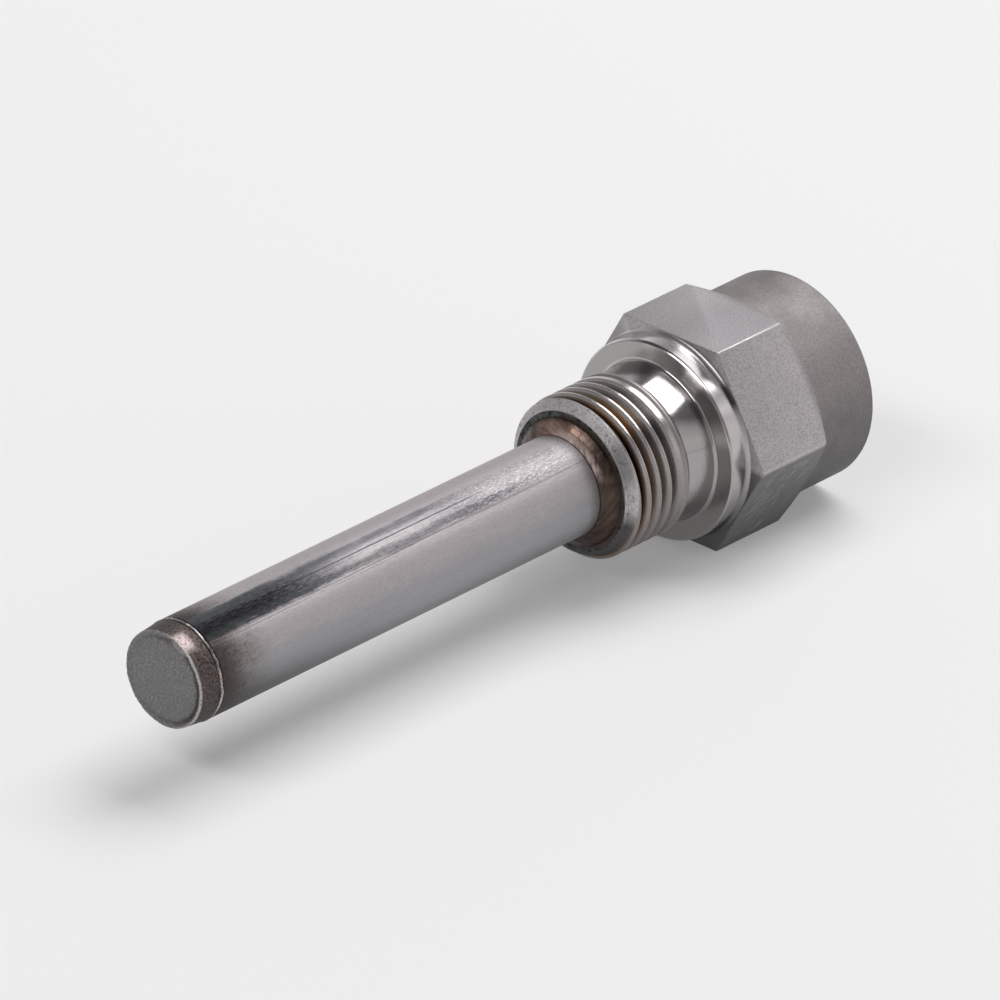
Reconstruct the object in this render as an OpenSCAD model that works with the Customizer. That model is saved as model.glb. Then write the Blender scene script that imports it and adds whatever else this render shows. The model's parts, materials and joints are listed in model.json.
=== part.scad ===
// Thermowell: a closed protection tube welded into a turned hexagon fitting.
// The axis lies along X, the closed tip points to -X, and two flats of the hexagon face up and down.
// The origin is on the axis, in the plane of the sealing face.

/* [Protection tube] */
// Outer diameter of the tube
tube_od = 13; // [11:0.5:14]
// Wall of the tube
tube_wall = 1.5; // [1:0.1:2]
// Length from the closed tip to the front face of the fitting
stem_len = 69.7; // [30:0.1:300]
// Depth of the tube's socket in the fitting
socket_len = 18; // [8:0.5:18.5]
// Radial gap between the tube and its socket
socket_gap = 0.05; // [0.02:0.01:0.1]

/* [Closed tip] */
// Thickness of the plug's head, from the tip to the weld
plug_head = 3.3; // [2:0.1:6]
// How far the plug's head is smaller than the tube at the weld, on the diameter
plug_step = 0.14; // [0.1:0.02:0.4]
// How much the plug's head narrows towards the tip, on the diameter
plug_taper = 0.46; // [0:0.02:1]
// Length of the plug's spigot inside the tube
spigot_len = 2.9; // [2:0.1:10]
// How far the tube is bored out for the spigot, on the radius
seat_step = 0.4; // [0.2:0.05:0.6]
// Radial gap between the spigot and its seat
spigot_gap = 0.05; // [0.02:0.01:0.1]
// Gap between the spigot's end and the bottom of its seat
spigot_end_gap = 0.1; // [0.05:0.05:0.5]
// Width of the raised lip around the tip face
lip_w = 0.3; // [0.2:0.05:0.6]
// Width of the shallow channel inside the lip
channel_w = 0.65; // [0.3:0.05:1.2]
// Depth of that channel
channel_depth = 0.22; // [0.1:0.02:0.5]
// Depth of the weld seam in the joint between plug and tube
seam_depth = 0.4; // [0.2:0.05:0.8]
// Height of the seam's bead above the tube
seam_crown = 0.04; // [0.02:0.01:0.1]

/* [Root weld] */
// Leg of the root weld along the fitting's face
weld_face_leg = 1.75; // [1:0.05:2]
// Leg of the root weld along the tube
weld_tube_leg = 1.5; // [0.8:0.05:2.5]
// Bulge of the root weld beyond its straight slope
weld_bulge = 0.22; // [0.1:0.02:0.4]

/* [Threaded shank] */
// Length from the shank's front face to the sealing face
shank_len = 14.9; // [12:0.1:30]
// Major diameter of the male thread, G 1/2
thread_d = 20.955; // [20.6:0.005:21.2]
// Pitch of both threads, 14 turns to the inch
thread_pitch = 1.814; // [1.6:0.002:2]
// Length of the threaded part, from the front face
thread_len = 9.9; // [7:0.1:11]
// Diameter of the flat front face inside the lead chamfer
lead_d = 18; // [17.6:0.1:18.6]
// Length of the lead chamfer
lead_len = 1.05; // [0.6:0.05:1.6]
// Diameter of the plain neck behind the thread
neck_d = 20.1; // [18.8:0.1:20.4]
// Length of the step from the thread down to the neck
neck_step = 0.5; // [0.2:0.05:1]
// Radius between the neck and the sealing face
neck_fillet = 0.5; // [0.3:0.05:1]

/* [Collar] */
// Diameter of the sealing collar
collar_d = 26; // [24:0.1:26.2]
// Length of the collar, from the sealing face to the hexagon
collar_len = 2.8; // [2:0.1:5]
// Chamfer on the collar's front edge
collar_edge = 0.25; // [0.1:0.05:0.5]
// Length of the flare where the collar meets the hexagon
flare_len = 0.8; // [0.5:0.05:1.2]
// Rise of that flare
flare_rise = 0.35; // [0.2:0.05:0.38]

/* [Hexagon and head] */
// Width of the hexagon across its flats
hex_af = 27; // [27:0.1:30]
// Length of the hexagon at its corners
hex_len = 11.1; // [6:0.1:16]
// Angle of the chamfer that ends the hexagon, from its end plane
hex_chamfer_angle = 30; // [15:1:45]
// Diameter of the round head
head_d = 26.9; // [24:0.1:26.9]
// Length of the round head behind the chamfer
head_len = 9.7; // [4:0.1:20]
// Chamfer on the head's end
head_edge = 0.3; // [0.1:0.05:0.8]

/* [Instrument thread] */
// Minor diameter of the female thread, G 1/2
tap_d = 18.631; // [18.4:0.005:18.9]
// Depth of the tapped hole at its full diameter
tap_depth = 16; // [12:0.1:18]
// Diameter of the chamfer at its mouth
mouth_d = 21.2; // [20.6:0.1:22]
// Full angle of the drill point at its bottom
drill_angle = 118; // [90:1:130]
// Diameter of the passage between the tapped hole and the tube
passage_d = 10.4; // [8:0.1:10.6]

/* [Hidden] */
$fn = 96;
tube_r = tube_od / 2;
bore_r = tube_r - tube_wall;
face_x = -shank_len;
tip_x = face_x - stem_len;
seam_x = tip_x + plug_head;
seat_r = bore_r + seat_step;
seat_x = seam_x + spigot_len + spigot_end_gap;
tube_end_x = face_x + socket_len;
thread_r = thread_d / 2;
neck_r = neck_d / 2;
collar_r = collar_d / 2;
hex_corner_r = hex_af / 2 / cos(30);
head_r = head_d / 2;
chamfer_x = collar_len + hex_len;
chamfer_end_x = chamfer_x + (hex_corner_r - head_r) * tan(hex_chamfer_angle);
head_end_x = chamfer_end_x + head_len;
tap_r = tap_d / 2;
tap_floor_x = head_end_x - tap_depth;
drill_tip_len = (tap_r - passage_d / 2) / tan(drill_angle / 2);
mouth_len = mouth_d / 2 - tap_r;
// Cutters run this far past the faces that they open
over = 1;

// Turns a profile, drawn as [radius, x], about the X axis
module turned() {
    rotate([0, 90, 0]) rotate_extrude() children();
}

// A band of a profile between two places along the axis and two radii
module band(x0, x1, r0, r1) {
    translate([r0, x0]) square([r1 - r0, x1 - x0]);
}

// Shank with its lead chamfer, the step at the end of the thread, and the neck
module shank_profile() {
    thread_end_x = face_x + thread_len;
    polygon([
        [0, face_x],
        [lead_d / 2, face_x],
        [thread_r, face_x + lead_len],
        [thread_r, thread_end_x],
        [neck_r, thread_end_x + neck_step],
        [neck_r, collar_edge],
        [0, collar_edge]
    ]);
    // Fillet between the neck and the sealing face
    difference() {
        band(-neck_fillet, collar_edge, neck_r - neck_fillet, neck_r + neck_fillet);
        translate([neck_r + neck_fillet, -neck_fillet]) circle(neck_fillet);
    }
}

// Collar with a broken front edge, flared where it runs up to the hexagon
module collar_profile() {
    flare_r = (flare_len ^ 2 + flare_rise ^ 2) / (2 * flare_rise);
    polygon([
        [0, 0],
        [collar_r - collar_edge, 0],
        [collar_r, collar_edge],
        [collar_r, collar_len],
        [0, collar_len]
    ]);
    difference() {
        band(collar_len - flare_len, collar_len, collar_r - flare_rise, collar_r + flare_rise);
        translate([collar_r + flare_r, collar_len - flare_len]) circle(flare_r);
    }
}

// Hexagon, its rear corners chamfered down to the head
module hexagon() {
    intersection() {
        translate([collar_len, 0, 0]) rotate([90, 0, 90])
            cylinder(h = chamfer_end_x - collar_len, r = hex_corner_r, $fn = 6);
        turned() polygon([
            [0, collar_len - over],
            [hex_corner_r + over, collar_len - over],
            [hex_corner_r + over, chamfer_x - over * tan(hex_chamfer_angle)],
            [head_r, chamfer_end_x],
            [head_r, chamfer_end_x + over],
            [0, chamfer_end_x + over]
        ]);
    }
}

// Round head behind the hexagon
module head_profile() {
    polygon([
        [0, collar_len],
        [head_r - over, collar_len],
        [head_r - over, chamfer_end_x - over],
        [head_r, chamfer_end_x],
        [head_r, head_end_x - head_edge],
        [head_r - head_edge, head_end_x],
        [0, head_end_x]
    ]);
}

// Everything that is bored out of the fitting: tapped hole, drill point, passage and socket
module bore_profile() {
    polygon([
        [0, face_x - over],
        [tube_r + socket_gap, face_x - over],
        [tube_r + socket_gap, tube_end_x],
        [passage_d / 2, tube_end_x],
        [passage_d / 2, tap_floor_x - drill_tip_len],
        [tap_r, tap_floor_x],
        [tap_r, head_end_x - mouth_len],
        [mouth_d / 2 + over, head_end_x + over],
        [0, head_end_x + over]
    ]);
}

// Turned in one piece from hexagon bar: threaded shank, neck, sealing collar, hexagon and head
module fitting() {
    color("gray") difference() {
        union() {
            turned() shank_profile();
            turned() collar_profile();
            hexagon();
            turned() head_profile();
        }
        turned() bore_profile();
    }
}

// Drawn tube, cut square, with a chamfer for the weld and a seat for the plug at its tip end
module well_tube() {
    color("darkgray") turned() polygon([
        [seat_r, seam_x],
        [tube_r - seam_depth, seam_x],
        [tube_r, seam_x + seam_depth],
        [tube_r, tube_end_x],
        [bore_r, tube_end_x],
        [bore_r, seat_x],
        [seat_r, seat_x]
    ]);
}

// Plug that closes the tube: a head flush with the tube and a spigot inside it
module end_plug() {
    head_rear_r = tube_r - plug_step / 2;
    face_r = head_rear_r - plug_taper / 2;
    color("dimgray") difference() {
        union() {
            turned() polygon([
                [0, tip_x],
                [face_r, tip_x],
                [head_rear_r, seam_x - seam_depth],
                [tube_r - seam_depth, seam_x],
                [0, seam_x]
            ]);
            turned() band(seam_x - over, seam_x + spigot_len, 0, seat_r - spigot_gap);
        }
        turned() band(tip_x - over, tip_x + channel_depth, face_r - lip_w - channel_w, face_r - lip_w);
    }
}

// Fine seam of weld metal that fills the groove between plug and tube
module tip_weld() {
    head_rear_r = tube_r - plug_step / 2;
    color("silver") turned() polygon([
        [tube_r - seam_depth, seam_x],
        [head_rear_r, seam_x - seam_depth],
        [tube_r + seam_crown, seam_x - seam_depth / 4],
        [tube_r + seam_crown, seam_x + seam_depth / 4],
        [tube_r, seam_x + seam_depth]
    ]);
}

// Convex fillet of weld metal that joins the tube to the fitting's front face
module root_weld() {
    chord = norm([weld_face_leg, weld_tube_leg]);
    arc_r = (chord ^ 2 / 4 + weld_bulge ^ 2) / (2 * weld_bulge);
    rise = arc_r - weld_bulge;
    color("saddlebrown") turned() intersection() {
        band(face_x - weld_tube_leg - weld_bulge, face_x, tube_r, tube_r + weld_face_leg + weld_bulge);
        translate([
            tube_r + weld_face_leg / 2 - rise * weld_tube_leg / chord,
            face_x - weld_tube_leg / 2 + rise * weld_face_leg / chord
        ]) circle(arc_r);
    }
}

fitting();
well_tube();
end_plug();
tip_weld();
root_weld();
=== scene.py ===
import json
from math import atan2, cos, degrees, hypot, pi, radians, sin, tan

import bmesh
import bpy
from mathutils import Matrix, Vector, noise


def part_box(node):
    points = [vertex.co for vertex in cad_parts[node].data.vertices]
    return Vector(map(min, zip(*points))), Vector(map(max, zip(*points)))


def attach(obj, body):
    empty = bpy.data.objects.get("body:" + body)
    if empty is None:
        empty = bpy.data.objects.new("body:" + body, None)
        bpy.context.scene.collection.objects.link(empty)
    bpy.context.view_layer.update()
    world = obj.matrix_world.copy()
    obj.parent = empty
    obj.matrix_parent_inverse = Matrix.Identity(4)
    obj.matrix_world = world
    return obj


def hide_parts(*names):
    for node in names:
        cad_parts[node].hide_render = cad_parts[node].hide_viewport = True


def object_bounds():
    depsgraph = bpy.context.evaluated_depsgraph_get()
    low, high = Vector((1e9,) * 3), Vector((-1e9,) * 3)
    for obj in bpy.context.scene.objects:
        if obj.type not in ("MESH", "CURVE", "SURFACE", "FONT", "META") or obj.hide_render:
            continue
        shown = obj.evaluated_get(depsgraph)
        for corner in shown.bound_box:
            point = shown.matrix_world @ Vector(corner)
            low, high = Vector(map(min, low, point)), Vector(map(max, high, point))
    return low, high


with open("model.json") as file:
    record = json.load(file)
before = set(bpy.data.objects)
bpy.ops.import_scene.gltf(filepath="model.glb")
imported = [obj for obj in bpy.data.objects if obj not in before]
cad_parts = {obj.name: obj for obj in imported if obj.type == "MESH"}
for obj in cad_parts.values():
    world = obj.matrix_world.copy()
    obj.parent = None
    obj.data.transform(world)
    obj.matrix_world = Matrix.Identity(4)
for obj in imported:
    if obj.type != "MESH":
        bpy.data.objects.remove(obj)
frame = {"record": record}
cad_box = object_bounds()
scene = bpy.context.scene
scene.view_settings.view_transform = "Standard"


# The studio: a pale floor at the height of the flat that the fitting lies on, two softboxes
# overhead, and a room that is pale near the horizon and dim above it. The camera looks down
# on the closed tip.
camera_turn = radians(-46.51)
camera_rise = radians(27.5)
camera_aim = Vector((-0.0263, 0.0008, 0.0015))
camera_distance = 1.68
camera_back = Vector((
    sin(camera_turn) * cos(camera_rise),
    -cos(camera_turn) * cos(camera_rise),
    sin(camera_rise),
))
camera = bpy.data.objects.new("camera", bpy.data.cameras.new("camera"))
camera.data.lens = 504
camera.data.clip_end = 20
camera.location = camera_aim + camera_distance * camera_back
camera.rotation_euler = camera_back.to_track_quat("Z", "Y").to_euler()
scene.collection.objects.link(camera)
scene.camera = camera


def softbox(name, place, size, radiance):
    """A soft rectangular lamp turned to the origin, of that width, height and brightness."""
    lamp = bpy.data.lights.new(name, "AREA")
    lamp.shape = "RECTANGLE"
    lamp.size, lamp.size_y = size
    lamp.energy = radiance * pi * size[0] * size[1]
    box = bpy.data.objects.new(name, lamp)
    box.location = place
    box.rotation_euler = Vector(place).to_track_quat("Z", "Y").to_euler()
    scene.collection.objects.link(box)


softbox("far_softbox", (0.76, 0, 1.22), (1.15, 0.95), 4.3)
softbox("near_softbox", (-0.93, 0, 1.1), (1.15, 0.35), 4.5)


class Wire:
    """An output of a material's nodes. Sums and products of wires add their Math nodes."""

    def __init__(self, tree, socket=None):
        self.tree, self.socket = tree, socket

    def add(self, kind, inputs=(), output=0, **settings):
        """Adds a node of that type, sets it up, then fills its inputs with wires or values."""
        node = self.tree.nodes.new("ShaderNode" + kind)
        for name, value in settings.items():
            if name == "stops":
                while len(node.color_ramp.elements) < len(value):
                    node.color_ramp.elements.new(1)
                for element, (place, colour) in zip(node.color_ramp.elements, value):
                    element.position, element.color = place, colour
            else:
                setattr(node, name, value)
        for name, value in dict(inputs).items():
            if isinstance(value, Wire):
                self.tree.links.new(value.socket, node.inputs[name])
            else:
                node.inputs[name].default_value = value
        return Wire(self.tree, node.outputs[output])

    def maths(self, operation, *values):
        return self.add("Math", enumerate(values), operation=operation)

    def __add__(self, other):
        return self.maths("ADD", self, other)

    def __sub__(self, other):
        return self.maths("SUBTRACT", self, other)

    def __rsub__(self, other):
        return self.maths("SUBTRACT", other, self)

    def __mul__(self, other):
        if isinstance(other, tuple):
            return self.add("VectorMath", {0: self, 1: other}, operation="MULTIPLY")
        return self.maths("MULTIPLY", self, other)

    __radd__, __rmul__ = __add__, __mul__

    def turned(self, degrees_about_y):
        """This vector, turned about the Y axis."""
        turn = (0, radians(degrees_about_y), 0)
        return self.add("Mapping", {"Vector": self, "Rotation": turn})

    def rise(self, start, end):
        """0 below start, 1 above end, smooth between them."""
        return self.add("MapRange", {"Value": self, "From Min": start, "From Max": end},
                        interpolation_type="SMOOTHSTEP")

    def band(self, start, end, soft):
        """1 from start to end, fading out over soft on either side."""
        return self.rise(start - soft, start + soft) * (1 - self.rise(end - soft, end + soft))

    def blend(self, first, second):
        """The first colour where this wire is 0, the second where it is 1."""
        inputs = {0: self}
        for socket, colour in ((6, first), (7, second)):
            inputs[socket] = colour if isinstance(colour, Wire) else (*colour, 1)
        return self.add("Mix", inputs, output=2, data_type="RGBA")


def connect(wire, socket):
    wire.tree.links.new(wire.socket, socket)


scene.world = bpy.data.worlds.new("room")
scene.world.use_nodes = True
room = Wire(scene.world.node_tree)
direction = room.add("TexCoord", output="Generated")
along, upward = (room.add("SeparateXYZ", {0: direction}, output=axis) for axis in "XZ")
walls = upward.add("ValToRGB", {0: upward}, stops=(
    (0.0, (0.85, 0.83, 0.84, 1)), (0.2, (0.9, 0.87, 0.88, 1)), (0.42, (0.66, 0.64, 0.65, 1)),
    (0.6, (0.15, 0.15, 0.16, 1))))
far_side = 0.45 + 0.55 * along.rise(-0.5, 0.4)
background = room.tree.nodes["Background"].inputs
connect(walls, background["Color"])
connect(far_side, background["Strength"])

floor_half_width = 6
floor_gap = 0.00001
floor_glow = 0.2
floor_bm = bmesh.new()
bmesh.ops.create_grid(floor_bm, x_segments=1, y_segments=1, size=floor_half_width)
bmesh.ops.translate(floor_bm, verts=floor_bm.verts, vec=(0, 0, cad_box[0][2] - floor_gap))
floor_mesh = bpy.data.meshes.new("floor")
floor_bm.to_mesh(floor_mesh)
floor_bm.free()
floor_object = bpy.data.objects.new("floor", floor_mesh)
scene.collection.objects.link(floor_object)
paper = bpy.data.materials.new("pale_paper")
paper.use_nodes = True
matt = paper.node_tree.nodes["Principled BSDF"]
matt.inputs["Base Color"].default_value = (0.9, 0.9, 0.9, 1)
matt.inputs["Roughness"].default_value = 0.9
lit = Wire(paper.node_tree, matt.outputs[0])
rays = Wire(paper.node_tree)
camera_ray, glossy_ray, through_ray = (
    rays.add("LightPath", output=f"Is {kind} Ray")
    for kind in ("Camera", "Glossy", "Transmission"))
seen = rays.maths("MAXIMUM", rays.maths("MAXIMUM", camera_ray, glossy_ray), through_ray)
glow = rays.add("Emission", {"Color": (1, 1, 1, 1), "Strength": 1})
mixed = rays.add("MixShader", {0: floor_glow * seen, 1: lit, 2: glow})
connect(mixed, paper.node_tree.nodes["Material Output"].inputs["Surface"])
floor_mesh.materials.append(paper)


# The well tube is drawn stainless tube, 13 mm outside, ground along its length. It is seated in
# the fitting and welded to it. A painted dark reflection runs along its top where the lamps'
# highlight falls, fine scribed lines run along its top, its lower side is painted darker as
# shade, and the weld at its tip has tinted its end brown.
MM = 0.001
tube_low, tube_high = (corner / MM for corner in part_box("well_tube"))
seam_x, tube_end_x = tube_low.x, tube_high.x
tube_r = tube_high.y
tube_bore_r = tube_r - 1.5
plug_seat_r = tube_bore_r + 0.4
plug_seat_x = seam_x + 3.0
seam_depth = 0.4
face_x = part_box("fitting")[0].x / MM
bead_len = 1.5
root_x = face_x - bead_len
long_side, shading_margin = 0.3, 0.03
merge_distance = 0.0001
slot_nodes = {part["material_slot"]: part["node"] for part in frame["record"]["subparts"]}


def lathe(profile, steps=144):
    """A solid turned about the X axis from a closed outline of (x, r) points, in millimetres."""
    bm = bmesh.new()
    ring = []
    for start, end in zip(profile, profile[1:] + profile[:1]):
        length = hypot(end[0] - start[0], end[1] - start[1])
        shares = (0,)
        if length > long_side:
            # A point close to either end of a long side keeps its shading straight
            shares = (0, shading_margin / length, 1 - shading_margin / length)
        for share in shares:
            x, r = (a + (b - a) * share for a, b in zip(start, end))
            ring.append(bm.verts.new((x, 0, r)))
    edges = [bm.edges.new(pair) for pair in zip(ring, ring[1:] + ring[:1])]
    bmesh.ops.spin(bm, geom=ring + edges, cent=(0, 0, 0), axis=(1, 0, 0), dvec=(0, 0, 0),
                   angle=2 * pi, steps=steps, use_merge=True, use_duplicate=False)
    bmesh.ops.remove_doubles(bm, verts=bm.verts, dist=merge_distance)
    bmesh.ops.recalc_face_normals(bm, faces=bm.faces)
    return bm


def solid(name, bm):
    """An object in the scene for a bmesh, which is used up."""
    mesh = bpy.data.meshes.new(name)
    bm.to_mesh(mesh)
    bm.free()
    made = bpy.data.objects.new(name, mesh)
    scene.collection.objects.link(made)
    return made


def finish(piece, slot, *materials, sharp=25):
    """Brings a piece to metres and puts it on the frame. Edges over sharp degrees stay sharp."""
    piece.data.transform(Matrix.Scale(MM, 4))
    piece.data.shade_smooth()
    piece.data.set_sharp_from_angle(angle=radians(sharp))
    for material in materials:
        piece.data.materials.append(material)
    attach(piece, "root")
    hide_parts(slot_nodes[slot])


class Steel:
    """A new metal, with wires for the place on its piece.

    They are the point in millimetres, its x, its reach from the axis, its angle in degrees from
    the top towards -Y, and below, which is that angle without its sign.
    """

    def __init__(self, name):
        self.material = bpy.data.materials.new(name)
        self.material.use_nodes = True
        start = Wire(self.material.node_tree)
        metres = start.add("TexCoord", output="Object")
        self.point = start.add("VectorMath", {0: metres, "Scale": 1 / MM}, operation="SCALE")
        self.x, y, z = (start.add("SeparateXYZ", {0: self.point}, output=axis) for axis in "XYZ")
        across = self.point * (0, 1, 1)
        self.reach = start.add("VectorMath", {0: across}, output=1, operation="LENGTH")
        self.angle = start.maths("ARCTAN2", -1 * y, z) * (180 / pi)
        self.below = start.maths("ABSOLUTE", self.angle)

    def surface(self, colour, rough, height, depth):
        """Its material, with a relief in which a height of 1 stands for depth in millimetres."""
        shader = self.material.node_tree.nodes["Principled BSDF"].inputs
        shader["Metallic"].default_value = 1
        bump = height.add("Bump", {"Height": height, "Strength": 1, "Distance": depth * MM})
        connect(colour, shader["Base Color"])
        connect(rough, shader["Roughness"])
        connect(bump, shader["Normal"])
        return self.material


def grain(point, scale, detail=3, rough=0.6, offset=(0, 0, 0)):
    """Noise about 0.5, with its scale along each axis in cycles a millimetre."""
    place = point.add("Mapping", {"Vector": point, "Scale": scale, "Location": offset})
    inputs = {"Vector": place, "Scale": 1, "Detail": detail, "Roughness": rough}
    return point.add("TexNoise", inputs)


def drawn_tube():
    steel = Steel("drawn_tube")
    point, angle, below = steel.point, steel.angle, steel.below
    past_seam, before_root = steel.x - seam_x, root_x - steel.x
    streaks = grain(point, (0.06, 5, 5), detail=5, rough=0.7)
    fine = grain(point, (1.2, 9, 9), detail=4, rough=0.7)
    patches = grain(point, (0.3, 0.6, 0.6), detail=4)
    pink, blue_grey = (0.50, 0.465, 0.475), (0.38, 0.38, 0.39)
    # Painted shade: the lower side is painted bluer and darker than the top, and darker still
    # underneath
    colour = (below + 14 * patches).rise(68, 92).blend(pink, blue_grey)
    colour = (0.5 * fine.rise(0.4, 0.75)).blend(colour, (0.32, 0.30, 0.31))
    colour = (0.5 * below.rise(100, 130)).blend(colour, (0.22, 0.22, 0.23))
    # Heat tint next to the weld at the tip
    flakes = grain(point.turned(25), (1.0, 4, 4), detail=4, rough=0.7)
    tinted_side = 1 - angle.band(-150, -72, 20)
    tint = tinted_side * (1 - (past_seam + 4 * (patches - 0.5)).rise(0.8, 10.3))
    colour = (tint * (0.6 + 0.5 * flakes.rise(0.35, 0.65))).blend(colour, (0.125, 0.10, 0.091))
    seared = tinted_side * (1 - (past_seam + 3 * (flakes - 0.5)).rise(0.3, 4.8))
    colour = (0.75 * seared).blend(colour, (0.045, 0.037, 0.035))
    # Painted shade: the underside near the tip is painted near black
    underside_shade = below.rise(78, 120) * (1 - past_seam.rise(1.3, 36.3))
    colour = (0.65 * underside_shade).blend(colour, (0.06, 0.06, 0.062))
    # Painted dark reflection along the top, where the lamps' highlight falls: broad and near black
    # at the tip, then two narrower bands
    scuffs = grain(point, (2.6, 2.2, 2.2), detail=5, rough=0.75)
    ragged_edge = angle + 14 * (streaks - 0.5) + 9 * (patches - 0.5) + 3 * (scuffs - 0.5)
    near_tip = 1 - past_seam.rise(8.3, 29.3)
    broken = 0.7 + 0.4 * fine.rise(0.35, 0.6)
    broad = ragged_edge.band(3, 36, 4) * (0.35 + 0.65 * near_tip)
    broad = broad * (1 - past_seam.rise(42.3, 52.3))
    colour = (broad * broken).blend(colour, (0.12, 0.125, 0.135))
    black = ragged_edge.rise(-10, 24) * (1 - ragged_edge.rise(34, 40)) * near_tip * broken
    colour = black.blend(colour, (0.027, 0.028, 0.032))
    upper = ragged_edge.band(5, 14, 3) * past_seam.band(1.3, 42.3, 4) * (0.2 + 0.8 * patches)
    colour = upper.blend(colour, (0.09, 0.10, 0.11))
    lower = ragged_edge.band(29, 38, 2.5) * past_seam.band(-0.7, 51.3, 7) * broken
    colour = (0.7 * lower).blend(colour, (0.08, 0.085, 0.09))
    line = angle.band(18.8, 19.8, 0.7) * past_seam.band(1.3, 47.3, 3)
    colour = (0.9 * line).blend(colour, (0.02, 0.02, 0.025))
    scribed = grain(point, (0.02, 9, 9), detail=2).rise(0.5, 0.62) * angle.band(38, 44, 1)
    colour = (0.55 * scribed).blend(colour, (0.16, 0.14, 0.14))
    # A patch of bright and dark glitter between the streak and the root
    glitter = grain(point, (1.6, 5.5, 5.5), detail=5, rough=0.85)
    patch = (angle + 8 * (scuffs - 0.5)).band(4, 37, 5) * before_root.band(-0.4, 23.6, 5)
    shade = 0.45 + 0.5 * angle.rise(20, 34) * before_root.rise(1.6, 13.6)
    colour = (shade * patch * (1 - glitter.rise(0.42, 0.6))).blend(colour, (0.10, 0.10, 0.11))
    colour = (0.55 * patch * glitter.rise(0.57, 0.66)).blend(colour, (0.82, 0.80, 0.82))
    # Darker towards the root, and a painted shade line in the crease where the tube meets the bead
    root_darkening = (1 - before_root.rise(0, 2.2)) * (0.3 + 0.6 * scuffs)
    colour = root_darkening.blend(colour, (0.13, 0.115, 0.11))
    colour = (0.9 * (1 - before_root.rise(0.1, 0.25))).blend(colour, (0.03, 0.025, 0.025))
    rough = 0.56 + 0.2 * (fine - 0.5) + 0.3 * (streaks - 0.5) + 0.25 * black
    height = 0.3 * streaks + 0.7 * fine + 0.6 * glitter * patch - line - 0.5 * scribed
    return steel.surface(colour, rough, height, 0.03)


well_tube = solid("ground_tube", lathe([
    (seam_x, plug_seat_r), (seam_x, tube_r - seam_depth), (seam_x + seam_depth, tube_r),
    (tube_end_x, tube_r), (tube_end_x, tube_bore_r), (plug_seat_x, tube_bore_r),
    (plug_seat_x, plug_seat_r)]))
finish(well_tube, "drawn_steel", drawn_tube())


# The end plug closes the tube, which its spigot slides into. It is cut from stainless bar, dull
# on its face, with a channel that the tool left inside a ragged burr of a lip, and the weld
# behind it has tinted its side brown.
tip_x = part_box("end_plug")[0].x / MM
plug_face_x = tip_x + 0.08
plug_face_r, plug_rear_r = 6.2, 6.43
spigot_r = plug_seat_r - 0.05
spigot_end_x = seam_x + 2.9
channel_r, channel_wall_r, lip_r, lip_edge_r = 5.1, 5.7, 5.85, 6.1
# The channel is crisp at this angle from the top towards -Y, and worn away on the other side
crisp_side = radians(80)


def ragged(angle, waves, seed):
    """Noise of about -1 to 1 round the axis, with about that many waves in a turn."""
    return noise.noise(Vector((cos(angle) * waves / 3, sin(angle) * waves / 3, seed)))


def plug_metal():
    steel = Steel("plug_metal")
    point, x, reach, angle, below = steel.point, steel.x, steel.reach, steel.angle, steel.below
    grit = grain(point, (3, 3, 3), detail=6, rough=0.75)
    cloud = grain(point, (0.4, 0.4, 0.4), detail=3, offset=(3, 1, 5))
    side = x.rise(tip_x + 0.15, tip_x + 0.4)
    specks = grain(point, (3.3, 2.8, 4.2), detail=6, rough=0.8)
    face = specks.rise(0.3, 0.7).blend((0.11, 0.11, 0.112), (0.34, 0.33, 0.33))
    face = (0.5 * cloud.rise(0.4, 0.7)).blend(face, (0.2, 0.195, 0.19))
    # Painted shade in the channel, darkest where the channel is crisp
    crisp = angle.band(25, 150, 25)
    channel = (reach + 0.6 * (cloud - 0.5)).band(5.35, 5.75, 0.12) * (0.05 + 0.7 * crisp)
    face = channel.blend(face, (0.07, 0.068, 0.066))
    burr = (reach + 1.1 * (specks - 0.5)).rise(5.93, 6.1) * (0.2 + 0.8 * crisp)
    face = (burr * specks.rise(0.36, 0.52)).blend(face, (0.58, 0.56, 0.55))
    brown = grit.rise(0.35, 0.65).blend((0.045, 0.037, 0.034), (0.19, 0.152, 0.14))
    # Painted shade: the side is painted darker underneath. It is also darker and bluer towards +Y
    brown = (0.5 * below.rise(60, 120)).blend(brown, (0.05, 0.046, 0.045))
    brown = (0.7 * (1 - angle.rise(-30, 12))).blend(brown, (0.045, 0.047, 0.05))
    # Painted highlight: a pink highlight along the top of the side near the tip
    side_highlight = angle.band(13, 36, 6) * (1 - x.rise(tip_x + 1.2, tip_x + 2.3)) * grit.rise(0.25, 0.6)
    brown = side_highlight.blend(brown, (0.66, 0.545, 0.545))
    return steel.surface(side.blend(face, brown), 0.5 + 0.3 * (grit - 0.5), grit, 0.09)


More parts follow.
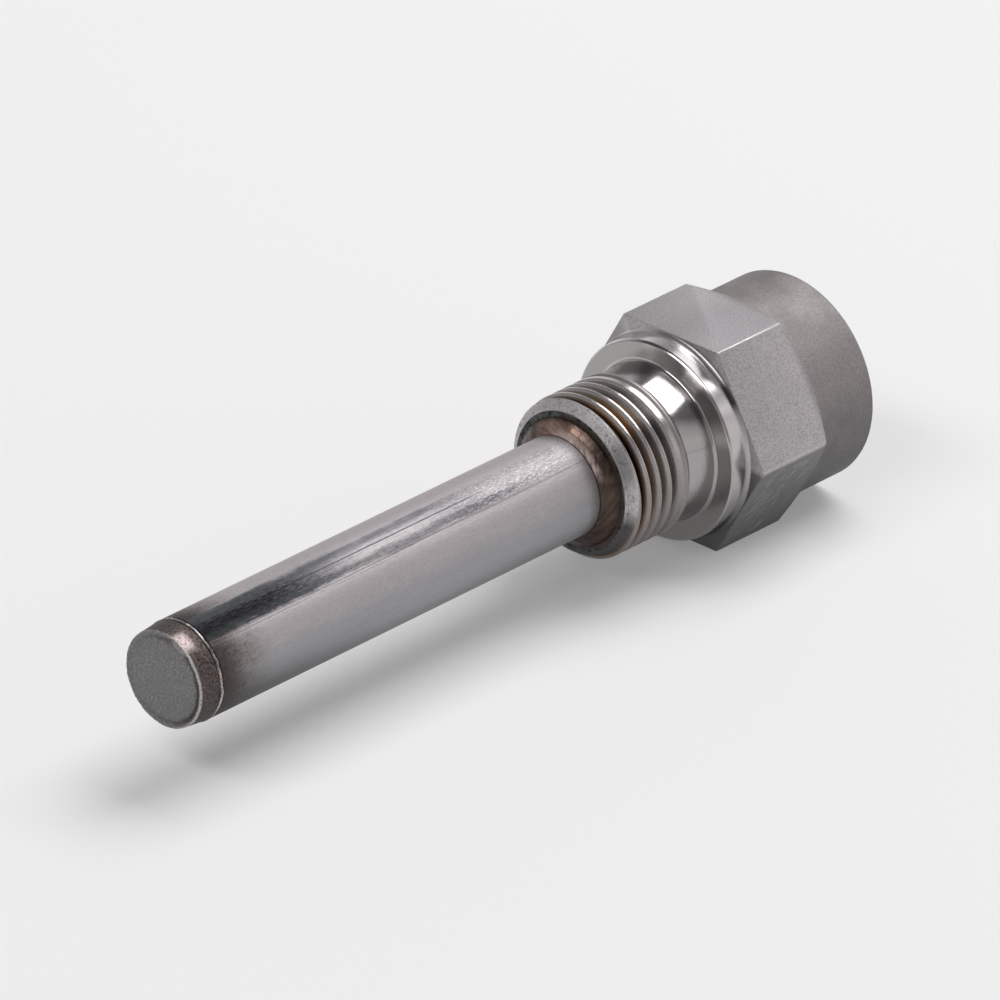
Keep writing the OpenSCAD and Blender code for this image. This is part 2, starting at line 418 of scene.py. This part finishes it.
plug = lathe([
    (plug_face_x, 0), (plug_face_x, 5.0), (tip_x + 0.13, 5.2),
    (tip_x + 0.3, 5.35), (tip_x + 0.34, 5.5), (tip_x + 0.3, 5.65), (tip_x + 0.1, 5.8),
    (tip_x + 0.03, 5.9), (tip_x + 0.03, 6.05), (plug_face_x, 6.17), (tip_x + 0.2, plug_face_r),
    (seam_x - seam_depth, plug_rear_r), (seam_x, tube_r - seam_depth), (seam_x, spigot_r),
    (spigot_end_x, spigot_r), (spigot_end_x, 0)])
for vert in plug.verts:
    reach = hypot(vert.co.y, vert.co.z)
    if vert.co.x < tip_x + 0.36 and reach > channel_r:
        around = atan2(-vert.co.y, vert.co.z)
        if reach < lip_r:
            worn_away = 0.45 - 0.45 * cos(around - crisp_side)
            vert.co.x -= worn_away * (vert.co.x - plug_face_x)
        burr = 0.18 * ragged(around, waves=14, seed=3) + 0.14 * ragged(around, waves=60, seed=5)
        vert.co.yz *= 1 + (burr if reach < lip_edge_r else 0.25 * burr) / reach
        wander = 0.06 * ragged(around, waves=30, seed=8) if reach > channel_wall_r else 0
        vert.co.x += wander + 0.03
end_plug = solid("tip_plug", plug)
finish(end_plug, "plug_steel", plug_metal(), sharp=35)


# The tip weld is the thin seam round the joint of plug and tube. Their stainless edges were
# melted together with no filler and left unground, so the seam wanders and has a bright crown.
def seam_metal():
    steel = Steel("seam_metal")
    beads = grain(steel.point, (1.4, 1.4, 1.4), detail=4, rough=0.7)
    crown = steel.reach.rise(tube_r - 0.06, tube_r - 0.01) * (0.3 + 0.7 * beads.rise(0.4, 0.6))
    colour = crown.blend((0.085, 0.07, 0.066), (0.55, 0.51, 0.50))
    return steel.surface(colour, 0.35 + 0.3 * (beads - 0.5), beads, 0.04)


seam = lathe([
    (seam_x, tube_r - 0.38), (seam_x - 0.36, tube_r - 0.1), (seam_x - 0.16, tube_r - 0.04),
    (seam_x - 0.08, tube_r + 0.03), (seam_x + 0.05, tube_r + 0.04),
    (seam_x + 0.14, tube_r + 0.02), (seam_x + 0.2, tube_r - 0.05)])
for vert in seam.verts:
    around = atan2(-vert.co.y, vert.co.z)
    wander, jitter = ragged(around, waves=14, seed=11), ragged(around, waves=70, seed=12)
    vert.co.x += 0.26 * wander + 0.16 * jitter
tip_weld = solid("tip_seam", seam)
finish(tip_weld, "seam_metal", seam_metal(), sharp=60)


# The fitting is turned from 27 mm hexagon bar of stainless steel: a G 1/2 shank, a polished
# neck, a sealing collar, the hexagon and a round head tapped G 1/2 for the instrument. Both
# threads are cut with a single-point tool that is drawn out over part of the last turn.
fitting_low, fitting_high = (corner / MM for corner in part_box("fitting"))
head_end_x = fitting_high.x
# A thread's depth and rounding are shares of its pitch. Its flanks are 55 degrees apart, and
# each leans by half of that
thread_r = 20.955 / 2
pitch = 1.814
flank = 27.5
thread_depth = 0.640327 * pitch
rounding_r = 0.137329 * pitch
crest_edge_r = 0.09
lead_r = 9.0
lead_len = 1.05
thread_end_x = face_x + 9.9
neck_r = 10.05
neck_fillet = 0.5
collar_r = 13.0
collar_edge, edge_rounding = 0.25, 0.03
collar_len = 2.8
flare_len, flare_rise = 0.8, 0.35
across_flats = fitting_high.z - fitting_low.z
hex_len = 11.1
hex_edge = 0.1
hex_chamfer = radians(30)
head_start_x = 12.5
head_r = 13.45
head_edge = 0.35
# The tapped socket ends in the drill's cone, then come the sensor's passage and the tube's seat
tap_r = 18.631 / 2
tap_depth = 16.0
mouth_r = 10.6
drill_half_angle = radians(59)
passage_r = 5.2
socket_r = 6.55
sliver = 0.001


def arc(centre, radius, start, end, steps):
    """Points (x, r) on an arc, its angles in degrees from the X axis."""
    angles = [radians(start + (end - start) * i / steps) for i in range(steps + 1)]
    return [(centre[0] + radius * cos(a), centre[1] + radius * sin(a)) for a in angles]


def machine(blank, operation, tool):
    """Joins, cuts or intersects blank with tool, which is used up, and clears away slivers."""
    step = blank.modifiers.new("step", "BOOLEAN")
    step.operation = operation
    step.solver = "EXACT"
    step.object = tool
    stepped = blank.evaluated_get(bpy.context.evaluated_depsgraph_get())
    result = bpy.data.meshes.new_from_object(stepped)
    blank.modifiers.clear()
    blank.data = result
    bpy.data.objects.remove(tool)
    bm = bmesh.new()
    bm.from_mesh(result)
    bmesh.ops.remove_doubles(bm, verts=bm.verts, dist=sliver)
    bmesh.ops.dissolve_degenerate(bm, edges=bm.edges, dist=sliver)
    bm.to_mesh(result)
    bm.free()


def thread_tool(outline, start_x, way, turns, run_out, draw_out, steps=72):
    """The space that a thread tool sweeps. It starts straight up and travels along way * X.

    The tool moves by draw_out along r over the last run_out turns.
    """
    turn_angle = way * 2 * pi
    bm = bmesh.new()
    ring = [bm.verts.new((start_x + x, 0, r)) for x, r in outline]
    edges = [bm.edges.new(pair) for pair in zip(ring, ring[1:] + ring[:1])]
    bm.faces.new(ring)
    count = round(turns * steps)
    swept = bmesh.ops.spin(bm, geom=ring + edges, cent=(0, 0, 0), axis=(1, 0, 0),
                           dvec=(way * pitch / steps, 0, 0), angle=turn_angle * count / steps,
                           steps=count, use_merge=False, use_duplicate=False)
    last = [item for item in swept["geom_last"] if isinstance(item, bmesh.types.BMEdge)]
    bmesh.ops.contextual_create(bm, geom=last)
    for vert in bm.verts:
        around = way * atan2(-vert.co.y, vert.co.z) / (2 * pi) % 1
        along = way * (vert.co.x - start_x) / pitch
        turn = round(along - around) + around
        out = min(max((turn - turns + run_out) / run_out, 0), 1)
        outward = Vector((0, vert.co.y, vert.co.z)).normalized()
        vert.co += outward * draw_out * (1 - (1 - out) ** 2)
    bmesh.ops.recalc_face_normals(bm, faces=bm.faces)
    return bm


flare_r = (flare_len ** 2 + flare_rise ** 2) / (2 * flare_rise)
flare_turn = degrees(atan2(flare_len, flare_r - flare_rise))
hex_corner_r = across_flats / 2 / cos(radians(30))
chamfer_end_x = collar_len + hex_len + (hex_corner_r - head_r) * tan(hex_chamfer)
# The tool left the neck slightly hollow: it widens towards the sealing face
neck_low_r, neck_hollow = neck_r - 0.17, 0.03
neck_start_x, neck_steps = -3.8, 12
neck_share = [(-neck_fillet - neck_start_x) * i / neck_steps for i in range(neck_steps + 1)]
neck = [(neck_start_x + share, neck_low_r + neck_hollow * share ** 2) for share in neck_share]
fitting = solid("turned_fitting", lathe([
    (face_x, 0), (face_x, lead_r - 0.06), (face_x + 0.05, lead_r + 0.04),
    (face_x + lead_len - 0.06, thread_r - 0.09), (face_x + lead_len + 0.05, thread_r),
    (thread_end_x - 0.15, thread_r), (thread_end_x + 0.05, thread_r - 0.08),
    (thread_end_x + 0.5, neck_low_r + 0.05), (thread_end_x + 0.65, neck_low_r), *neck,
    *arc((neck[-1][0], neck[-1][1] + neck_fillet), neck_fillet, 270, 360, 8),
    (0, collar_r - collar_edge - edge_rounding), (edge_rounding, collar_r - collar_edge),
    (collar_edge - edge_rounding, collar_r - edge_rounding),
    (collar_edge + edge_rounding, collar_r),
    *arc((collar_len - flare_len, collar_r + flare_r), flare_r, 270, 270 + flare_turn, 10),
    (head_start_x - 0.5, collar_r + flare_rise), (head_start_x, head_r),
    (head_end_x - head_edge, head_r), (head_end_x - 0.1, head_r - 0.1),
    (head_end_x, head_r - head_edge), (head_end_x, 0)]))

# The hexagon is left long at the back, and the chamfer's tool takes that off with the corners
spare_len = 6
tool_over, tool_under = 3, 1
hexagon_bm = bmesh.new()
bmesh.ops.create_cone(hexagon_bm, cap_ends=True, segments=6, radius1=hex_corner_r,
                      radius2=hex_corner_r, depth=hex_len + spare_len)
bmesh.ops.rotate(hexagon_bm, verts=hexagon_bm.verts, matrix=Matrix.Rotation(pi / 2, 3, "Y"))
bmesh.ops.translate(hexagon_bm, verts=hexagon_bm.verts,
                    vec=(collar_len + hex_len / 2 + spare_len / 2, 0, 0))
bmesh.ops.bevel(hexagon_bm, geom=hexagon_bm.edges[:], offset=hex_edge, offset_type="OFFSET",
                segments=2, profile=0.5, affect="EDGES", material=-1)
hexagon = solid("hexagon", hexagon_bm)
machine(hexagon, "INTERSECT", solid("hexagon_chamfer", lathe([
    (collar_len - tool_under, 0), (collar_len - tool_under, head_r + tool_over),
    (chamfer_end_x - tool_over * tan(hex_chamfer), head_r + tool_over),
    (chamfer_end_x + tool_under * tan(hex_chamfer), head_r - tool_under),
    (chamfer_end_x + tool_under * tan(hex_chamfer), 0)])))
machine(fitting, "UNION", hexagon)

# The thread tool is just narrower than the pitch, so that its turns stay clear of each other
half_width = pitch / 2 - 0.03
edge_x = (1 - sin(radians(flank))) / cos(radians(flank)) * (rounding_r - crest_edge_r)
crest = arc((edge_x - pitch / 2, thread_r - crest_edge_r), crest_edge_r, flank, 86, 4)
root = arc((0, thread_r - thread_depth + rounding_r), rounding_r, 180 + flank, 270, 5)
left_half = [(-half_width, thread_r + 1.2), *reversed(crest), *root]
male_outline = left_half + [(-x, r) for x, r in reversed(left_half[:-1])]
male_start_x = face_x - 0.96 * pitch - 0.15
machine(fitting, "DIFFERENCE", solid("male_tool", thread_tool(
    male_outline, male_start_x, way=1, turns=6.4, run_out=0.65, draw_out=1.25)))

tap_floor_x = head_end_x - tap_depth
tap_cone_len = (tap_r - passage_r) / tan(drill_half_angle)
drill_past = 1
machine(fitting, "DIFFERENCE", solid("drill", lathe([
    (face_x - drill_past, 0), (face_x - drill_past, socket_r), (tube_end_x, socket_r),
    (tube_end_x, passage_r), (tap_floor_x - tap_cone_len, passage_r), (tap_floor_x, tap_r),
    (head_end_x - mouth_r + tap_r, tap_r), (head_end_x + drill_past, mouth_r + drill_past),
    (head_end_x + drill_past, 0)])))
female_outline = [(x, tap_r + thread_r - r) for x, r in male_outline]
female_start_x = head_end_x + 1.1
machine(fitting, "DIFFERENCE", solid("tap", thread_tool(
    female_outline, female_start_x, way=-1, turns=8.6, run_out=0.4, draw_out=-1.3)))


def shank_metal():
    """Shank: filed matt and pale in front, then the cut thread, scaled by the weld's heat. Its
    grooves and lower side carry painted shade.
    """
    steel = Steel("shank_metal")
    point, x, reach, angle, below = steel.point, steel.x, steel.reach, steel.angle, steel.below
    past_front = x - face_x
    pit = 1 - reach.rise(thread_r - 0.9, thread_r - 0.15)
    grit = grain(point, (4, 4, 4), detail=5, rough=0.7)
    drag = grain(point, (9, 0.5, 0.5), detail=4, rough=0.7)
    cloud = grain(point, (0.4, 0.4, 0.4), detail=3)
    thread = past_front.rise(lead_len - 0.1, lead_len + 0.1)
    land = x.rise(thread_end_x - 1.0, thread_end_x - 0.8)
    rim = reach.rise(thread_r - 0.2, thread_r - 0.05)
    heat = 1 - past_front.rise(1.5, 7.5)
    # Painted shade: the thread is painted darker in its grooves and on its lower side
    bare = pit.rise(0.02, 0.3).blend((0.56, 0.53, 0.525), (0.27, 0.25, 0.24))
    bare = (0.75 * below.rise(35, 95)).blend(bare, (0.19, 0.175, 0.165))
    bare = land.blend(bare, (0.33, 0.31, 0.305))
    bare = (0.35 * drag.rise(0.4, 0.7)).blend(bare, (0.26, 0.24, 0.23))
    # Heat tint, thickest in the grooves, and laid on more strongly at the top as a painted
    # coloured highlight
    straw = heat * cloud.rise(0.25, 0.55) * (0.1 + 1.5 * pit) * (0.6 + 0.6 * angle.band(2, 45, 10))
    amber = straw.blend(bare, (0.32, 0.19, 0.085))
    scorch = 1.2 * pit * (1 - past_front.rise(1.6, 5))
    scale = scorch.blend(amber, (0.05, 0.028, 0.02))
    dents = grain(point, (1.1, 1.1, 1.1), detail=5, rough=0.75)
    filed = grit.rise(0.3, 0.7).blend((0.5, 0.475, 0.48), (0.80, 0.76, 0.765))
    filed = (0.7 * dents.rise(0.52, 0.66)).blend(filed, (0.15, 0.15, 0.16))
    # Painted shade: the front chamfer is painted darker in a band towards -Y and near black
    # underneath
    shaded = 0.15 + 0.4 * angle.band(44, 74, 8) + 0.75 * below.rise(92, 112)
    filed = shaded.blend(filed, (0.07, 0.068, 0.07))
    # Painted highlight: the front chamfer's outer rim is painted bright
    filed = (rim * (0.4 + 0.6 * dents.rise(0.35, 0.55))).blend(filed, (0.78, 0.76, 0.76))
    front = 1 - past_front.rise(0.02, 0.1)
    # The front face round the bead is dark, near black in places, and brownish next to the bead
    dark_front = dents.rise(0.35, 0.65).blend((0.03, 0.031, 0.032), (0.16, 0.16, 0.16))
    spread = (reach - 0.5 * (dents - 0.5)).rise(8.55, 8.85)
    dark_front = ((1 - spread) * angle.band(5, 155, 25)).blend(dark_front, (0.12, 0.08, 0.065))
    filed = front.blend(filed, dark_front)
    rough = 0.24 + 0.2 * (drag - 0.5) + 0.24 * (1 - thread) * (1 - 0.6 * rim) + 0.15 * pit * heat
    height = 0.08 * drag * thread + (grit + 2 * dents) * (1 - thread)
    return steel.surface(thread.blend(filed, scale), rough + 0.25 * land, height, 0.03)


def turned_metal():
    """Neck and collar, turned bright, with the tool's fine rings. The sealing face is duller, with
    painted highlights in sectors.
    """
    steel = Steel("turned_metal")
    x, reach, angle, below = steel.x, steel.reach, steel.angle, steel.below
    rings = grain(steel.point, (14, 0.12, 0.12), detail=2, rough=0.5)
    face = reach.rise(neck_r + 0.4, neck_r + 0.8) * (1 - x.rise(0.02, 0.12))
    # Painted shade: the neck and collar are painted darker on their lower side
    metal = below.rise(42, 60).blend((0.56, 0.535, 0.535), (0.37, 0.36, 0.357))
    on_collar = x.rise(0.02, 0.3)
    metal = on_collar.blend(metal, (0.53, 0.505, 0.505))
    # Painted highlights: sectors of the collar are painted bright
    glints = on_collar * (angle.band(-38, -8, 6) + angle.band(41, 56, 4))
    metal = glints.blend(metal, (0.92, 0.89, 0.89))
    # Painted shade: the collar is painted darker where the lamps' highlight falls next to the
    # face, and underneath
    near_face = 0.8 * angle.band(8, 38, 4) * (1 - x.rise(1.3, 1.7))
    dark = on_collar * (near_face + 0.85 * below.rise(75, 125))
    metal = dark.blend(metal, (0.14, 0.135, 0.137))
    flare = x.rise(collar_len - flare_len + 0.05, collar_len - flare_len + 0.3)
    # Painted shade: the flare is painted dark, darkest in a sector towards -Y
    metal = (flare * (0.1 + 0.85 * angle.band(41, 57, 4))).blend(metal, (0.06, 0.058, 0.06))
    # Painted light and shade on the hexagon's front face: darker towards +Y, a bright pink
    # highlight in a sector near the top, darker underneath
    hexagon_front = angle.rise(-38, -28).blend((0.42, 0.41, 0.405), (0.58, 0.565, 0.56))
    hexagon_front = angle.band(16, 46, 5).blend(hexagon_front, (0.90, 0.82, 0.82))
    hexagon_front = (0.8 * below.rise(46, 60)).blend(hexagon_front, (0.30, 0.29, 0.29))
    past_flare = reach.rise(collar_r + flare_rise, collar_r + flare_rise + 0.1)
    past_flare = past_flare * x.rise(collar_len - 0.1, collar_len - 0.05)
    metal = past_flare.blend(metal, hexagon_front)
    # Painted highlights: the sealing face is painted brighter in sectors round it
    painted_light_and_shade = angle.band(-6, 22, 5).blend((0.385, 0.37, 0.365), (0.58, 0.56, 0.55))
    painted_light_and_shade = (angle.band(24, 38, 3) + 0.7 * angle.band(60, 74, 5)).blend(painted_light_and_shade, (0.92, 0.88, 0.87))
    rough = 0.13 + 0.1 * (rings - 0.5) + 0.12 * face + 0.1 * on_collar + 0.12 * flare
    rough = rough + 0.25 * past_flare
    return steel.surface(face.blend(metal, painted_light_and_shade), rough, rings * (1 - face), 0.004)


def bar_metal():
    """Hexagon and head: satin and fine-grained. The head is duller and browner.

    The hexagon's corners are rubbed bright, with a painted highlight on the corner between the top
    flat and the flat towards -Y, and the lower flat towards -Y is scratched aslant.
    """
    steel = Steel("bar_metal")
    point, x, reach, angle, below = steel.point, steel.x, steel.reach, steel.angle, steel.below
    grit = grain(point, (4, 4, 4), detail=5, rough=0.75)
    cloud = grain(point, (0.25, 0.25, 0.25), detail=3)
    flats = cloud.rise(0.3, 0.7).blend((0.53, 0.507, 0.52), (0.57, 0.541, 0.552))
    # Painted shade: the top flat is painted darker, most towards -Y
    top_flat = below.band(-1, 29.5, 0.5) * (0.15 + 0.5 * angle.rise(-22, 5))
    flats = top_flat.blend(flats, (0.36, 0.345, 0.36))
    head = cloud.rise(0.3, 0.7).blend((0.25, 0.233, 0.232), (0.33, 0.305, 0.30))
    # Painted light: the head is painted lighter on its side towards -Y
    head = (0.6 * angle.band(38, 78, 10)).blend(head, (0.40, 0.37, 0.365))
    metal = x.rise(collar_len + hex_len - 0.2, chamfer_end_x + 0.4).blend(flats, head)
    metal = (0.6 * grit.rise(0.4, 0.7)).blend(metal, (0.19, 0.175, 0.175))
    slanted = grain(point.turned(40), (0.4, 0.4, 7), detail=3, rough=0.6).rise(0.58, 0.66)
    scratched = slanted * angle.band(93, 147, 3) * x.band(4, 13, 1.5)
    round_part = x.rise(collar_len + hex_len, chamfer_end_x + 0.4)
    # Painted shade: the lower flats and the head's underside are painted dark
    painted_light_and_shade = 0.82 * below.band(92, 210, 2) * (1 - round_part)
    painted_light_and_shade = painted_light_and_shade + 0.85 * round_part * below.rise(55, 135)
    metal = painted_light_and_shade.blend(metal, (0.12, 0.12, 0.125))
    metal = (0.5 * scratched).blend(metal, (0.70, 0.70, 0.70))
    # Rubbed corners, and a painted highlight on the corner between the top flat and the flat
    # towards -Y
    corner = reach.rise(hex_corner_r - 0.12, hex_corner_r - 0.06)
    wear_and_glint = corner * (0.2 + 0.8 * angle.band(20, 40, 4)) * (1 - 0.7 * x.rise(8, 13))
    wear_and_glint = wear_and_glint * grit.rise(0.25, 0.5)
    metal = (0.6 * wear_and_glint).blend(metal, (0.85, 0.83, 0.84))
    rough = 0.5 + 0.25 * (grit - 0.5) + 0.12 * round_part - 0.2 * wear_and_glint - 0.1 * scratched
    return steel.surface(metal, rough, grit, 0.03)


finish(fitting, "turned_steel", bar_metal(), shank_metal(), turned_metal())
# On its outside the fitting has the shank's metal up to the thread's end, then the turned metal
# up to the hexagon
for polygon in fitting.data.polygons:
    middle = polygon.center / MM
    reach = hypot(middle.y, middle.z)
    if middle.x < collar_len + 0.01 and reach > socket_r + 0.1:
        polygon.material_index = 1 if middle.x < thread_end_x else 2


# The root weld is a fillet bead of stainless filler that joins the tube to the fitting's front
# face. It was run in one pass round the tube, which left fine ripples, and its heat turned it
# brown.
bead_rise = 1.8
ripple_count, ripple_height = 84, 0.035


def bead_metal():
    steel = Steel("bead_metal")
    point, reach, angle = steel.point, steel.reach, steel.angle
    # The grain runs outwards at a slant, as the ripples do
    swirl = point.add("VectorRotate", {"Vector": point * (0, 1, 1), "Angle": 0.3 * reach},
                      rotation_type="X_AXIS")
    around = point.add("VectorMath", {0: swirl}, operation="NORMALIZE") * (0, 9, 9)
    outward = point.add("CombineXYZ", {0: 0.8 * reach})
    slanted = point.add("VectorMath", {0: around, 1: outward}, operation="ADD")
    flow = grain(slanted, (1, 1, 1), detail=5, rough=0.65)
    colour = flow.rise(0.3, 0.7).blend((0.055, 0.038, 0.031), (0.11, 0.077, 0.063))
    # Painted light: the bead is painted lighter along its top
    upper = angle.band(-30, 24, 16)
    colour = (upper * (0.6 + 0.4 * flow.rise(0.35, 0.65))).blend(colour, (0.44, 0.30, 0.245))
    # Painted highlight: a pink highlight next to the tube
    glint = (1 - reach.rise(tube_r + 0.3, tube_r + 1.0)) * angle.band(-10, 60, 10)
    colour = (glint * flow.rise(0.3, 0.55)).blend(colour, (0.72, 0.56, 0.52))
    # Painted shade where the bead meets the front face
    edge = reach.rise(tube_r + 1.2, tube_r + 1.7)
    colour = (0.6 * edge).blend(colour, (0.04, 0.03, 0.028))
    return steel.surface(colour, 0.33 + 0.2 * (flow - 0.5), flow, 0.014)


bead = lathe([
    (face_x, tube_r + 0.02), (face_x, tube_r + bead_rise),
    (face_x - 0.3, tube_r + bead_rise - 0.14), (face_x - 0.62, tube_r + 1.27),
    (face_x - 0.92, tube_r + 0.92), (face_x - 1.18, tube_r + 0.55),
    (face_x - 1.36, tube_r + 0.25), (root_x, tube_r + 0.02)])
for vert in bead.verts:
    reach = hypot(vert.co.y, vert.co.z) - tube_r
    if 0.1 < reach and vert.co.x < face_x - 0.1:
        around = atan2(-vert.co.y, vert.co.z)
        ripple = ripple_height * sin(ripple_count * around + 2.5 * reach)
        ripple += 0.10 * ragged(around, waves=18, seed=21)
        vert.co.yz *= 1 + ripple / (reach + tube_r)
        vert.co.x -= 0.5 * ripple
root_weld = solid("root_bead", bead)
finish(root_weld, "weld_metal", bead_metal(), sharp=50)
